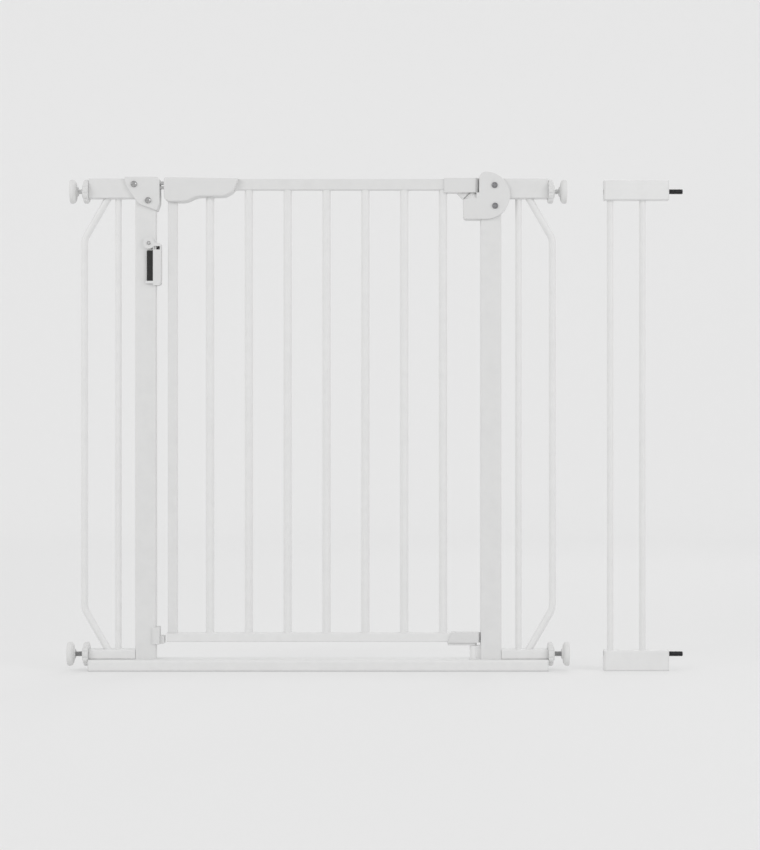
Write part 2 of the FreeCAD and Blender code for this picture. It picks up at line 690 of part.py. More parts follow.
slot = block(
    -post_in - FITTING_ON_POST + 0.8,
    -post_in + FITTING_OUT - 1.4,
    front_y - FITTING_CHEEK - 1,
    front_y - 1.0,
    fit_top - SLOT_DROP - SLOT_HEIGHT,
    fit_top - SLOT_DROP,
)
deep_slot = block(
    -post_in + 0.8,
    -post_in + FITTING_OUT - 1.4,
    front_y - FITTING_CHEEK - 1,
    half_tube - 5.5,
    fit_top - SLOT_DROP - SLOT_HEIGHT,
    fit_top - SLOT_DROP,
)
strip_x1 = -post_in - FITTING_ON_POST - SEAT
strip_space = block(
    strip_x1 - STRIP_WIDTH - SEAT,
    strip_x1 + SEAT,
    front_y - FITTING_CHEEK - 1,
    front_y,
    fit_top - STRIP_DROP - STRIP_HEIGHT,
    fit_top - STRIP_DROP,
)
small_hole = cylinder(boss_x, -half_rail, boss_z, SMALL_SCREW_DIA / 2 + SEAT, half_rail - 1, (0, 1, 0))
fitting = fitting.cut([slot, deep_slot, strip_space, small_hole])
save("post_fitting_housing", fitting)
strip = block(
    strip_x1 - STRIP_WIDTH,
    strip_x1,
    front_y - STRIP_THICKNESS - SEAT,
    front_y - SEAT,
    fit_top - STRIP_DROP - STRIP_HEIGHT + SEAT,
    fit_top - STRIP_DROP - SEAT,
)
save("post_fitting_strip", rounded(strip, 1, 0.8))
head_y = front_y - FITTING_CHEEK - SMALL_HEAD_HEIGHT
screw_points = [(0, 0), (0, SMALL_HEAD_DIA * 0.34), (0.6, SMALL_HEAD_DIA * 0.46)]
screw_points += [(SMALL_HEAD_HEIGHT - SEAT, SMALL_HEAD_DIA / 2)]
screw_points += [(SMALL_HEAD_HEIGHT - SEAT, SMALL_SCREW_DIA / 2)]
screw_end = SMALL_HEAD_HEIGHT + FITTING_CHEEK - SEAT
screw_points += [(screw_end, SMALL_SCREW_DIA / 2), (screw_end, 0)]
small_screw = turned_along(screw_points, (boss_x, head_y, boss_z), (0, 1, 0))
save("post_fitting_screw", small_screw.cut(cross(boss_x, head_y, boss_z, SMALL_HEAD_DIA * 0.6, 0.8)))

# ---- door ----
button_x0 = tongue_tip + BUTTON_FROM_TIP
stem_x0 = button_x0 + (BUTTON_LENGTH - STEM_LENGTH) / 2
stem_slot = block(
    stem_x0 - SLIDE,
    stem_x0 + STEM_LENGTH + TONGUE_TRAVEL + SLIDE,
    -STEM_DEPTH / 2 - SLIDE,
    STEM_DEPTH / 2 + SLIDE,
    door_top - DOOR_WALL - 1,
    door_top + 1,
)
top_rail = tube(
    door_rail_left, socket_end, -half_door, half_door, door_top_low, door_top, 0, DOOR_WALL, DOOR_ROUND
)
save("door_top_rail", top_rail.cut(stem_slot))
plug_rim = 2.5
bottom_x0 = door_rail_end + plug_rim
bottom_tube = tube(
    bottom_x0, socket_end - 13.0, -half_door, half_door, door_low, door_low_top, 0, DOOR_WALL, DOOR_ROUND
)
save("door_bottom_rail", bottom_tube)
stile = tube(
    door_rail_left,
    door_rail_left + STILE_WIDTH,
    -half_door,
    half_door,
    door_low_top,
    door_top_low,
    2,
    DOOR_WALL,
    DOOR_ROUND,
)
save("door_latch_stile", stile)
bars = [round_tube(x, door_low_top, door_top_low, BAR_DIA / 2) for x in bar_places]
save("door_bars", *bars)
rim_face = profile(
    [
        (door_rail_end, door_low, 0.8),
        (bottom_x0, door_low, 0),
        (bottom_x0, door_low_top, 0),
        (bottom_x0 - 0.3, door_low_top, 0),
        (door_rail_end, door_low_top - 3.0, 0),
    ]
)
inset = DOOR_WALL + SEAT
end_plug = plate(rim_face, -half_door, half_door)
plug_body = block(
    bottom_x0, bottom_x0 + 12.0, -half_door + inset, half_door - inset, door_low + inset, door_low_top - inset
)
save("door_rail_end_plug", end_plug.fuse(plug_body))

# ---- hinge sleeves ----
sleeve_x0 = hinge_x - SLEEVE_LENGTH
sleeve_top = GATE_HEIGHT + UPPER_SLEEVE_TOP
sleeve_bottom = sleeve_top - UPPER_SLEEVE_HEIGHT
upper_knuckle = cylinder(hinge_x, 0, sleeve_bottom, UPPER_KNUCKLE_RADIUS, UPPER_SLEEVE_HEIGHT, (0, 0, 1))
upper_space = block(hinge_x, hinge_x + 20, -half_sleeve, half_sleeve, sleeve_bottom, sleeve_top)
upper = block(sleeve_x0, hinge_x, -half_sleeve, half_sleeve, sleeve_bottom, sleeve_top)
lift = SLIDE * 1.8
fin_slope = CONE_HEIGHT / (CONE_FOOT_RADIUS - CONE_TOP_RADIUS)
fin_top_radius = CONE_TOP_RADIUS - (sleeve_bottom - cone_top - lift) / fin_slope
fin_face = profile(
    [
        (hinge_x - fin_top_radius, sleeve_bottom + 1.0, 0),
        (hinge_x - fin_top_radius, sleeve_bottom, 0),
        (hinge_x - CONE_FOOT_RADIUS, cone_foot + lift, 0),
        (hinge_x - FIN_FREE_RADIUS, sleeve_bottom, 0),
        (hinge_x - FIN_FREE_RADIUS, sleeve_bottom + 1.0, 0),
    ]
)
fin = plate(fin_face, -FIN_THICKNESS / 2, FIN_THICKNESS / 2)
upper = upper.fuse([upper_knuckle.common(upper_space), fin])
rail_space = block(
    sleeve_x0 - 1,
    socket_end + SEAT,
    -half_door - SEAT,
    half_door + SEAT,
    door_top_low - SEAT,
    door_top + SEAT,
)
last_bar_space = cylinder(
    bar_places[-1], 0, door_top_low - 30, BAR_DIA / 2 + SEAT, 31, (0, 0, 1)
)
upper_bore = cylinder(
    hinge_x, 0, sleeve_bottom - 5, pin_r + RUN, upper_pin_top + 0.5 - sleeve_bottom + 5, (0, 0, 1)
)
save("upper_hinge_sleeve", upper.cut([rail_space, last_bar_space, upper_bore]))

lower_top = door_low_top + 0.4
lower_face = profile(
    [
        (sleeve_x0 + 4.6, sleeve_low, 0),
        (hinge_x, sleeve_low, 0),
        (hinge_x, lower_top, 0),
        (sleeve_x0 + 11.6, lower_top, 1.0),
    ]
)
lower = plate(lower_face, -half_sleeve, half_sleeve)
lower_knuckle = cylinder(hinge_x, 0, sleeve_low, LOWER_KNUCKLE_RADIUS, lower_top - sleeve_low, (0, 0, 1))
lower_space = block(hinge_x - 1, hinge_x + 20, -half_sleeve, half_sleeve, sleeve_low, lower_top)
lip_low = sleeve_low - LOWER_SLEEVE_LIP
lip = block(sleeve_x0 + 6.0, hinge_x, -6.0, 6.0, lip_low, sleeve_low)
lip_nose = cylinder(hinge_x, 0, lip_low, 6.0, LOWER_SLEEVE_LIP, (0, 0, 1))
lower = lower.fuse([lower_knuckle.common(lower_space), lip, lip_nose])
lower_rail_space = block(
    sleeve_x0 - 1,
    socket_end - 13.0 + SEAT,
    -half_door - SEAT,
    half_door + SEAT,
    door_low - SEAT,
    door_low_top + 5,
)
lower_bore = cylinder(hinge_x, 0, lip_low - 5, pin_r + RUN, lower_pin_top + 0.5 - lip_low + 5, (0, 0, 1))
save("lower_hinge_sleeve", lower.cut([lower_rail_space, lower_bore]))

# ---- handle shells ----
handle_face = profile(
    [
        (stile_x - 13.0, GATE_HEIGHT + 1.6, 3.0),
        (stile_x + 103.0, GATE_HEIGHT - 0.1, 1.5),
        (stile_x + 95.0, GATE_HEIGHT - 20.0, 16.0),
        (stile_x + 82.0, GATE_HEIGHT - 28.2, 24.0),
        (stile_x + 38.0, GATE_HEIGHT - 28.2, 30.0),
        (stile_x + 22.0, GATE_HEIGHT - 36.3, 30.0),
        (stile_x - 13.0, GATE_HEIGHT - 36.3, 10.0),
    ]
)
handle_cuts = [
    block(
        door_rail_left - SEAT,
        stile_x + 130,
        -half_door - SEAT,
        half_door + SEAT,
        door_top_low - SEAT,
        door_top + SEAT,
    ),
    block(
        door_rail_left - SEAT,
        door_rail_left + STILE_WIDTH + SEAT,
        -half_door - SEAT,
        half_door + SEAT,
        door_top_low - 60,
        door_top_low + 1,
    ),
    block(
        stile_x - 30,
        door_rail_left + 1,
        -TONGUE_DEPTH / 2 - SLIDE,
        TONGUE_DEPTH / 2 + SLIDE,
        tongue_low - SLIDE,
        tongue_top + SLIDE,
    ),
    block(
        button_x0 - SLIDE,
        button_x0 + BUTTON_LENGTH + TONGUE_TRAVEL + SLIDE,
        -BUTTON_DEPTH / 2 - SLIDE,
        BUTTON_DEPTH / 2 + SLIDE,
        door_top,
        door_top + 10,
    ),
    cylinder(bar_places[0], 0, door_top_low - 60, BAR_DIA / 2 + SEAT, 61, (0, 0, 1)),
]
screw_front = -half_handle + 5.0
for x, z in handle_screws:
    handle_cuts.append(
        cylinder(x, screw_front - SEAT, z, SMALL_SCREW_DIA / 2 + SEAT, half_handle * 2, (0, 1, 0))
    )
    handle_cuts.append(cylinder(x, half_handle - 3.0, z, SMALL_HEAD_DIA / 2 + SEAT, 10, (0, 1, 0)))
for word, side in (("front", -1), ("back", 1)):
    half = shell(handle_face, half_handle, HANDLE_EDGE, side)
    save("handle_" + word, half.cut(handle_cuts))
joining = []
for x, z in handle_screws:
    head_at = half_handle - 3.0 + SEAT + SMALL_HEAD_HEIGHT
    points = [(0, 0), (0, SMALL_HEAD_DIA / 2 - 0.5), (0.5, SMALL_HEAD_DIA / 2)]
    points += [(SMALL_HEAD_HEIGHT, SMALL_HEAD_DIA / 2), (SMALL_HEAD_HEIGHT, SMALL_SCREW_DIA / 2)]
    points += [(head_at - screw_front, SMALL_SCREW_DIA / 2), (head_at - screw_front, 0)]
    joining.append(turned_along(points, (x, head_at, z), (0, -1, 0)))
save("handle_screws", *joining)

# ---- latch: tongue with two fingers, release button, spring and its seat ----
tongue = block(
    tongue_tip + FINGER_LENGTH, tongue_end, -TONGUE_DEPTH / 2, TONGUE_DEPTH / 2, tongue_low, tongue_top
)
fingers = []
for i in range(2):
    z0 = finger_low + i * (FINGER_HEIGHT + FINGER_SPACE)
    finger = block(
        tongue_tip, tongue_tip + FINGER_LENGTH + 1, -TONGUE_DEPTH / 2, TONGUE_DEPTH / 2, z0, z0 + FINGER_HEIGHT
    )
    fingers.append(rounded(finger, 2, 1.0))
stem_space = block(
    stem_x0 - SEAT,
    stem_x0 + STEM_LENGTH + SEAT,
    -STEM_DEPTH / 2 - SEAT,
    STEM_DEPTH / 2 + SEAT,
    tongue_top - STEM_SOCKET,
    tongue_top + 1,
)
save("latch_tongue", tongue.fuse(fingers).cut(stem_space))
button_low = door_top + SLIDE
button_top = button_low + BUTTON_HEIGHT
button = block(
    button_x0, button_x0 + BUTTON_LENGTH, -BUTTON_DEPTH / 2, BUTTON_DEPTH / 2, button_low, button_top
)
button = rounded(button, 2, 2.0)
stem = block(
    stem_x0,
    stem_x0 + STEM_LENGTH,
    -STEM_DEPTH / 2,
    STEM_DEPTH / 2,
    tongue_top - STEM_SOCKET + SEAT,
    button_low + 0.5,
)
save("release_button", button.fuse(stem))
tongue_mid = (tongue_low + tongue_top) / 2
spring_x0 = tongue_end + TONGUE_TRAVEL + SLIDE
seat_x0 = spring_x0 + SPRING_LENGTH + SEAT
coil = cylinder(spring_x0, 0, tongue_mid, SPRING_DIA / 2, SPRING_LENGTH, (1, 0, 0))
coil = coil.cut(
    cylinder(spring_x0, 0, tongue_mid, SPRING_DIA / 2 - SPRING_WIRE, SPRING_LENGTH, (1, 0, 0))
)
save("latch_spring", coil)
seat = block(
    seat_x0,
    seat_x0 + SPRING_SEAT_LENGTH,
    -half_door + inset,
    half_door - inset,
    door_top_low + inset,
    door_top - inset,
)
peg = cylinder(spring_x0, 0, tongue_mid, SPRING_PEG_DIA / 2, seat_x0 - spring_x0 + 1, (1, 0, 0))
save("spring_seat", rounded(seat, 0, 0.5).fuse(peg))

# ---- extension panel ----
panel_levels = {
    "upper": (panel_top - PANEL_UPPER_HEIGHT, panel_top, upper_bolt_z),
    "lower": (0.0, PANEL_LOWER_HEIGHT, lower_bolt_z),
}
pins = []
socket_plugs = []
pin_plugs = []
for level, (z0, z1, pin_z) in panel_levels.items():
    body = tube(
        panel_left + CAP_RIM, panel_right - CAP_RIM, -half_tube, half_tube, z0, z1, 0, TUBE_WALL, TUBE_ROUND
    )
    save("panel_" + level + "_tube", body)
    inset = TUBE_WALL + SEAT
    left_rim = block(panel_left, panel_left + CAP_RIM, -half_tube, half_tube, z0, z1)
    left_rim = rounded(left_rim, 0, TUBE_ROUND)
    left_plug = block(
        panel_left + CAP_RIM,
        panel_left + CAP_RIM + PANEL_PLUG,
        -half_tube + inset,
        half_tube - inset,
        z0 + inset,
        z1 - inset,
    )
    socket = cylinder(panel_left - 1, 0, pin_z, SPINDLE_DIA / 2 + RUN, PANEL_PLUG + CAP_RIM + 2, (1, 0, 0))
    socket_plugs.append(left_rim.fuse(rounded(left_plug, 0, 0.5)).cut(socket))
    right_rim = block(panel_right - CAP_RIM, panel_right, -half_tube, half_tube, z0, z1)
    right_rim = rounded(right_rim, 0, TUBE_ROUND)
    right_plug = block(
        panel_right - CAP_RIM - PANEL_PLUG,
        panel_right - CAP_RIM,
        -half_tube + inset,
        half_tube - inset,
        z0 + inset,
        z1 - inset,
    )
    hold = cylinder(
        panel_right - CAP_RIM - PANEL_PLUG - 1,
        0,
        pin_z,
        PANEL_PIN_ROOT_DIA / 2 + SEAT / 5,
        PANEL_PLUG + CAP_RIM + 2,
        (1, 0, 0),
    )
    pin_plugs.append(right_rim.fuse(rounded(right_plug, 0, 0.5)).cut(hold))
    root = PANEL_PLUG + CAP_RIM + SEAT
    length = root + PANEL_PIN_OUT
    pin_points = [
        (0, 0),
        (0, PANEL_PIN_ROOT_DIA / 2),
        (root, PANEL_PIN_ROOT_DIA / 2),
        (root, SPINDLE_DIA / 2),
        (length - 1, SPINDLE_DIA / 2),
        (length, SPINDLE_DIA / 2 - 1),
        (length, 0),
    ]
    pins.append(turned_along(pin_points, (panel_right - CAP_RIM - PANEL_PLUG, 0, pin_z), (1, 0, 0)))
save("panel_socket_plugs", *socket_plugs)
save("panel_pin_plugs", *pin_plugs)
save("panel_threaded_pins", *pins)
panel_bars = []
for i in range(2):
    x = panel_left + PANEL_BAR_INSET + i * PANEL_BAR_PITCH
    panel_bars.append(round_tube(x, PANEL_LOWER_HEIGHT, panel_top - PANEL_UPPER_HEIGHT, PANEL_BAR_DIA / 2))
save("panel_bars", *panel_bars)
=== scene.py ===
import json
import math
import bmesh
import bpy
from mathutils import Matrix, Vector


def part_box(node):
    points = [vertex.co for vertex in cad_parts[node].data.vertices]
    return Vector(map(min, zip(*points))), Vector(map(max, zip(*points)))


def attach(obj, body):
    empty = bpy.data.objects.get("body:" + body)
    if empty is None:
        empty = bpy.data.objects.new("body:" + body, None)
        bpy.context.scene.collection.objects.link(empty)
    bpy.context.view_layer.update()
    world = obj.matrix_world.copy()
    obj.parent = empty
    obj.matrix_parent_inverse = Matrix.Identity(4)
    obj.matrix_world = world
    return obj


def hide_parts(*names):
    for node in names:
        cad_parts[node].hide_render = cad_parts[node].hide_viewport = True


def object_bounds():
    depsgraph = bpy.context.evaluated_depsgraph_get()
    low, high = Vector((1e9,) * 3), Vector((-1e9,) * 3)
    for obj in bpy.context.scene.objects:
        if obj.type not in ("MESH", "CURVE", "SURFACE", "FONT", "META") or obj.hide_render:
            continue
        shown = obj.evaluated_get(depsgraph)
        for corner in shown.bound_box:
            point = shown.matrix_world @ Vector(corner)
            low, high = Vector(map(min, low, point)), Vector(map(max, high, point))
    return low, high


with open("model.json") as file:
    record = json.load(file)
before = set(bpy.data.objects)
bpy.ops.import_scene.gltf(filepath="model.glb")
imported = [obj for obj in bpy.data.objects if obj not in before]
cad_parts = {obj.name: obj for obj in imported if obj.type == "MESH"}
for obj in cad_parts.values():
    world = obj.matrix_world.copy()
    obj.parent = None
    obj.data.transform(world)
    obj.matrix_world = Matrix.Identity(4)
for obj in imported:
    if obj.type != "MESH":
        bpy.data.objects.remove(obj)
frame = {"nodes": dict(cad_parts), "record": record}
cad_low, cad_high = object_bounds()
scene = bpy.context.scene

# ---- sizes of the added detail, in metres ----
THREAD_PITCH = 0.002
THREAD_DEPTH = 0.00062
THREAD_RINGS = 10  # rings of vertices in each pitch
LEAD_IN = 0.0008  # bevel at a rod's ends
SPINDLE_RADIUS = 0.004
PIN_SHANK_RADIUS = 0.0035  # the panel pins inside their plugs
DOOR_BEAD = 0.00112  # leg of a weld bead on the door
FRAME_BEAD = 0.0016  # and on the frame and the extension panel
BEAD_ROOT = 0.0004  # how far a bead reaches into its bar
BEAD_SINK = 0.0003  # and into the face below it
TUBE_MARGIN = 0.0003  # beads stop this far inside the tube's edge
SPRING_WIRE = 0.0015
SPRING_TURNS = 5.5
RIB_COUNT = 7
RIB_HEIGHT = 0.00055
RIB_SHARE = 0.32  # half a rib's width, as a share of the step between ribs
RIB_TAPER = 0.0008  # length of the sloped end of a rib
RIB_END = 0.25  # height there, as a share of RIB_HEIGHT
RIB_SINK = 0.00002
RIB_MARGIN = (0.003, 0.0022)  # clear border of the button along X and Y
EDGE_SAMPLES = 4


# ---- materials ----
class Nodes:
    """Short calls for building one material's nodes."""

    def __init__(self, name, rough, metallic=0.0, specular=0.5):
        self.mat = bpy.data.materials.new(name)
        self.mat.use_nodes = True
        self.tree = self.mat.node_tree
        self.shader = self.tree.nodes["Principled BSDF"]
        self.shader.inputs["Roughness"].default_value = rough
        self.shader.inputs["Metallic"].default_value = metallic
        self.shader.inputs["Specular IOR Level"].default_value = specular
        self.coords = self.tree.nodes.new("ShaderNodeTexCoord")

    def link(self, a, b):
        self.tree.links.new(a, b)

    def new(self, kind, **values):
        node = self.tree.nodes.new(kind)
        for key, value in values.items():
            setattr(node, key, value)
        return node

    def scaled(self, scale):
        """Object coordinates, stretched."""
        mapping = self.new("ShaderNodeMapping")
        mapping.inputs["Scale"].default_value = scale
        self.link(self.coords.outputs["Object"], mapping.inputs["Vector"])
        return mapping.outputs["Vector"]

    def noise(self, scale, detail=3.0, rough=0.5, stretch=(1, 1, 1)):
        node = self.new("ShaderNodeTexNoise")
        node.inputs["Scale"].default_value = scale
        node.inputs["Detail"].default_value = detail
        node.inputs["Roughness"].default_value = rough
        self.link(self.scaled(stretch), node.inputs["Vector"])
        return node.outputs["Fac"]

    def ramp(self, source, stops):
        node = self.new("ShaderNodeValToRGB")
        while len(node.color_ramp.elements) < len(stops):
            node.color_ramp.elements.new(0.5)
        for element, (place, grey) in zip(node.color_ramp.elements, stops):
            element.position = place
            element.color = (grey, grey, grey, 1)
        self.link(source, node.inputs["Fac"])
        return node.outputs["Color"]

    def mix(self, fac, a, b, blend="MIX"):
        node = self.new("ShaderNodeMix", data_type="RGBA", blend_type=blend)
        for socket, value in ((0, fac), (6, a), (7, b)):
            if isinstance(value, bpy.types.NodeSocket):
                self.link(value, node.inputs[socket])
            elif socket == 0:
                node.inputs[socket].default_value = value
            else:
                node.inputs[socket].default_value = (*value, 1)
        return node.outputs[2]

    def range(self, source, low, high):
        node = self.new("ShaderNodeMapRange")
        node.inputs["To Min"].default_value = low
        node.inputs["To Max"].default_value = high
        self.link(source, node.inputs["Value"])
        return node.outputs["Result"]

    def bump(self, source, distance, strength=1.0, after=None):
        node = self.new("ShaderNodeBump")
        node.inputs["Distance"].default_value = distance
        node.inputs["Strength"].default_value = strength
        self.link(source, node.inputs["Height"])
        if after is not None:
            self.link(after, node.inputs["Normal"])
        return node.outputs["Normal"]

    def edges(self, radius=0.0009):
        """1 on outer edges, 0 elsewhere: where a small round-over would turn the surface; the mask for
        painted edge shade and highlights.
        """
        geometry = self.new("ShaderNodeNewGeometry")
        rounded = self.new("ShaderNodeBevel", samples=EDGE_SAMPLES)
        rounded.inputs["Radius"].default_value = radius
        turned = self.new("ShaderNodeVectorMath", operation="DOT_PRODUCT")
        self.link(rounded.outputs["Normal"], turned.inputs[0])
        self.link(geometry.outputs["Normal"], turned.inputs[1])
        near_edge = self.ramp(turned.outputs["Value"], ((0.86, 1.0), (0.995, 0.0)))
        outer = self.ramp(geometry.outputs["Pointiness"], ((0.498, 0.0), (0.512, 1.0)))
        return self.mix(1.0, near_edge, outer, "MULTIPLY")

    def recesses(self, low=0.47, high=0.40):
        """1 in thread roots and inside corners, 0 elsewhere: where painted light goes."""
        geometry = self.new("ShaderNodeNewGeometry")
        return self.ramp(geometry.outputs["Pointiness"], ((high, 1.0), (low, 0.0)))

    def finish(self, color=None, rough=None, normal=None):
        for name, socket in (("Base Color", color), ("Roughness", rough), ("Normal", normal)):
            if socket is not None:
                self.link(socket, self.shader.inputs[name])
        return self.mat


def scaled_tone(tone, share, lift=0.0):
    """A tone made lighter or darker, no brighter than white."""
    return tuple(min(1.0, c * share + lift) for c in tone)


def powder_coat(name, tone):
    """Satin white powder coat: orange peel, faint clouding, dust, painted shade on the outer edges."""
    n = Nodes(name, 0.42, specular=0.45)
    cloud = n.noise(9.0, 4.0)
    speck = n.ramp(n.noise(1400.0, 2.0), ((0.66, 0.0), (0.74, 1.0)))
    dust = n.ramp(n.noise(55.0, 5.0), ((0.42, 0.0), (0.85, 0.45)))
    color = n.mix(cloud, scaled_tone(tone, 0.985), scaled_tone(tone, 1.01))
    color = n.mix(dust, color, scaled_tone(tone, 0.90))
    color = n.mix(speck, color, scaled_tone(tone, 0.96))
    # painted shade: outer edges darkened, standing in for the dark outline round each tube
    color = n.mix(n.edges(), color, scaled_tone(tone, 0.91))
    peel = n.bump(n.noise(620.0, 2.0), 0.00018, 0.55)
    peel = n.bump(n.noise(2600.0, 1.0), 0.00004, 0.5, peel)
    return n.finish(color, n.range(n.noise(160.0, 3.0), 0.36, 0.50), peel)


def moulded(name, tone, rough, grain=3200.0, depth=0.00003, gloss=0.4):
    """Moulded plastic: fine spark grain, slight flow clouding, painted highlight on the outer edges."""
    n = Nodes(name, rough, specular=gloss)
    color = n.mix(n.noise(18.0, 3.0), scaled_tone(tone, 0.985), scaled_tone(tone, 1.01))
    flow = n.noise(40.0, 2.0, stretch=(0.3, 1.0, 1.4))
    color = n.mix(n.ramp(flow, ((0.45, 0.0), (0.8, 0.35))), color, scaled_tone(tone, 0.95))
    # painted highlight: outer edges lightened
    color = n.mix(n.edges(), color, scaled_tone(tone, 1.04))
    normal = n.bump(n.noise(grain, 2.0), depth, 0.7)
    return n.finish(color, n.range(n.noise(240.0, 3.0), rough - 0.07, rough + 0.08), normal)


def metal(name, tone, rough, streak, tint=(1.0, 1.0, 1.0), plated=0.35):
    """Plated or blackened steel with turning marks and cloudy plating, painted highlights on the outer
    edges and painted light in thread roots and inside corners.
    """
    n = Nodes(name, rough, metallic=1.0)
    base = tuple(tone * c for c in tint)
    color = n.mix(n.noise(320.0, 4.0), scaled_tone(base, 1 - plated), scaled_tone(base, 1 + plated))
    # painted highlight: outer edges lightened
    color = n.mix(n.edges(0.0004), color, scaled_tone(base, 1.5, 0.02))
    # painted light: thread roots and inside corners lightened
    color = n.mix(n.recesses(), color, scaled_tone(base, 1.9, 0.05))
    patchy = n.range(n.noise(900.0, 3.0), rough - 0.08, rough + 0.12)
    marks = n.noise(2400.0, 2.0, stretch=streak)
    return n.finish(color, patchy, n.bump(marks, 0.00003, 0.5))


def ribbed_rubber():
    """The dark strip on the post fitting: short level ribs."""
    n = Nodes("ribbed_rubber", 0.7, specular=0.2)
    wave = n.new("ShaderNodeTexWave", wave_type="BANDS", bands_direction="Z", wave_profile="SIN")
    wave.inputs["Scale"].default_value = 160.0
    n.link(n.coords.outputs["Object"], wave.inputs["Vector"])
    color = n.mix(n.noise(500.0, 3.0), (0.020, 0.020, 0.020), (0.046, 0.046, 0.045))
    # painted highlight: outer edges lightened
    color = n.mix(n.edges(), color, (0.05, 0.05, 0.05))
    grain = n.bump(n.noise(3000.0, 2.0), 0.00003, 0.8)
    ribs = n.bump(wave.outputs["Fac"], 0.0003, 0.6, grain)
    return n.finish(color, n.range(n.noise(300.0, 3.0), 0.62, 0.80), ribs)


WHITE = (0.775, 0.775, 0.772)
WHITE_PAINTED_SHADE = (0.732, 0.732, 0.729)  # painted shade: a darker copy of WHITE for the wide flat faces, which catch the most light
ALONG_X = (0.1, 1.0, 1.0)  # turning marks that run along X
ALONG_Y = (1.0, 0.1, 1.0)
materials = {
    # the record's slots
    "white_steel": powder_coat("white_powder_coat", WHITE),
    "white_plastic": moulded("white_moulded_plastic", (0.715, 0.715, 0.712), 0.50),
    "pad_plastic": moulded("white_soft_pad", (0.735, 0.735, 0.73), 0.66, 1800.0, 0.00005, 0.3),
    "black_plastic": ribbed_rubber(),
    "bright_steel": metal("zinc_plated_steel", 0.43, 0.24, ALONG_Y),
    "dark_steel": metal("dark_zinc_steel", 0.26, 0.34, ALONG_X, (1.0, 1.0, 1.03)),
    "black_steel": metal("black_oxide_steel", 0.045, 0.42, ALONG_X, (1.0, 1.0, 1.05), 0.5),
    # painted light and painted shade: lighter and darker copies of the finishes, for single pieces
    # painted shade: the white powder coat made darker
    "painted_shade_coat": powder_coat("white_powder_coat_painted_shade", WHITE_PAINTED_SHADE),
    # painted light and painted shade: one zinc steel, lighter for the upper spindles and darker for the
    # lower
    "painted_light_zinc": metal("pale_zinc_steel", 0.85, 0.36, ALONG_X),
    "painted_shade_zinc": metal("grey_zinc_steel", 0.36, 0.34, ALONG_X),
    # painted light: a lighter copy of the white plastic
    "painted_light_plastic": moulded("white_plastic_painted_light", (0.81, 0.81, 0.807), 0.50),
    # painted shade: a darker copy of the white plastic, also more matt
    "shaded_plastic": moulded("white_matt_plastic_painted_shade", (0.70, 0.70, 0.698), 0.60),
}
# painted shade on the lower hinge sleeve
special = {"lower_hinge_sleeve": "shaded_plastic"}
# painted light: these pieces take the lighter copy of the white plastic
for node_name in ("hinge_foot", "door_rail_end_plug", "latch_tongue"):
    special[node_name] = "painted_light_plastic"
# painted shade: these flat-faced pieces take the darker copy of the white coat
for node_name in ("latch_post", "hinge_post", "door_latch_stile", "door_top_rail",
                  "upper_stub_tube_left", "upper_stub_tube_right"):
    special[node_name] = "painted_shade_coat"

slot_of = {row["node"]: row["material_slot"] for row in frame["record"]["subparts"]}
for node_name, node in frame["nodes"].items():
    node.data.materials.clear()
    node.data.materials.append(materials[special.get(node_name, slot_of[node_name])])


# ---- pieces built in mesh code ----
def add_piece(name, verts, faces, body, slot_name, sharp, finish=None):
    """A smooth mesh piece, in place, riding on a body; edges over sharp degrees stay sharp."""
    mesh = bpy.data.meshes.new(name)
    mesh.from_pydata([tuple(v) for v in verts], [], faces)
    mesh.update()
    bm = bmesh.new()
    bm.from_mesh(mesh)
    bmesh.ops.remove_doubles(bm, verts=bm.verts, dist=1e-7)
    bmesh.ops.recalc_face_normals(bm, faces=bm.faces)
    limit = math.radians(sharp)
    for face in bm.faces:
        face.smooth = True
    for edge in bm.edges:
        if len(edge.link_faces) == 2 and edge.calc_face_angle(0.0) > limit:
            edge.smooth = False
    bm.to_mesh(mesh)
    bm.free()
    mesh.materials.append(materials[finish or slot_name])
    piece = bpy.data.objects.new(name, mesh)
    scene.collection.objects.link(piece)
    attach(piece, body)
    return piece


def threaded_rod(x0, x1, z, thread_from, radius, plain_radius, steps=32):
    """A rod along X, plain from x0 to thread_from and with one helical thread from there to x1."""
    side = 1 if x1 > x0 else -1
    length = abs(x1 - x0)
    count = int(length / (THREAD_PITCH / THREAD_RINGS)) + 1
    verts, faces = [], []
    start = abs(thread_from - x0)
    for i in range(count + 1):
        along = min(length, i * length / count)
        for k in range(steps):
            angle = 2 * math.pi * k / steps
            if along < start:
                r = plain_radius
            else:
                phase = (along / THREAD_PITCH - k / steps) % 1.0
                wave = 1 - abs(2 * phase - 1)  # 0 at the root, 1 at the crest
                wave = min(1.0, max(0.0, (wave - 0.10) / 0.80))  # flat root and crest
                r = radius - THREAD_DEPTH * (1 - wave)
            for end in (along, length - along):
                if end < LEAD_IN:
                    r = min(r, radius - (LEAD_IN - end))
            verts.append((x0 + side * along, r * math.cos(angle), z + r * math.sin(angle)))
    for i in range(count):
        for k in range(steps):
            a, b = i * steps + k, i * steps + (k + 1) % steps
            faces.append((a, b, b + steps, a + steps))
    faces.append(tuple(range(steps)))
    faces.append(tuple(count * steps + k for k in range(steps)))
    return verts, faces


def joined(shapes):
    """Several (verts, faces) pairs as one."""
    all_verts, all_faces = [], []
    for verts, faces in shapes:
        offset = len(all_verts)
        all_verts += verts
        all_faces += [tuple(i + offset for i in face) for face in faces]
    return all_verts, all_faces


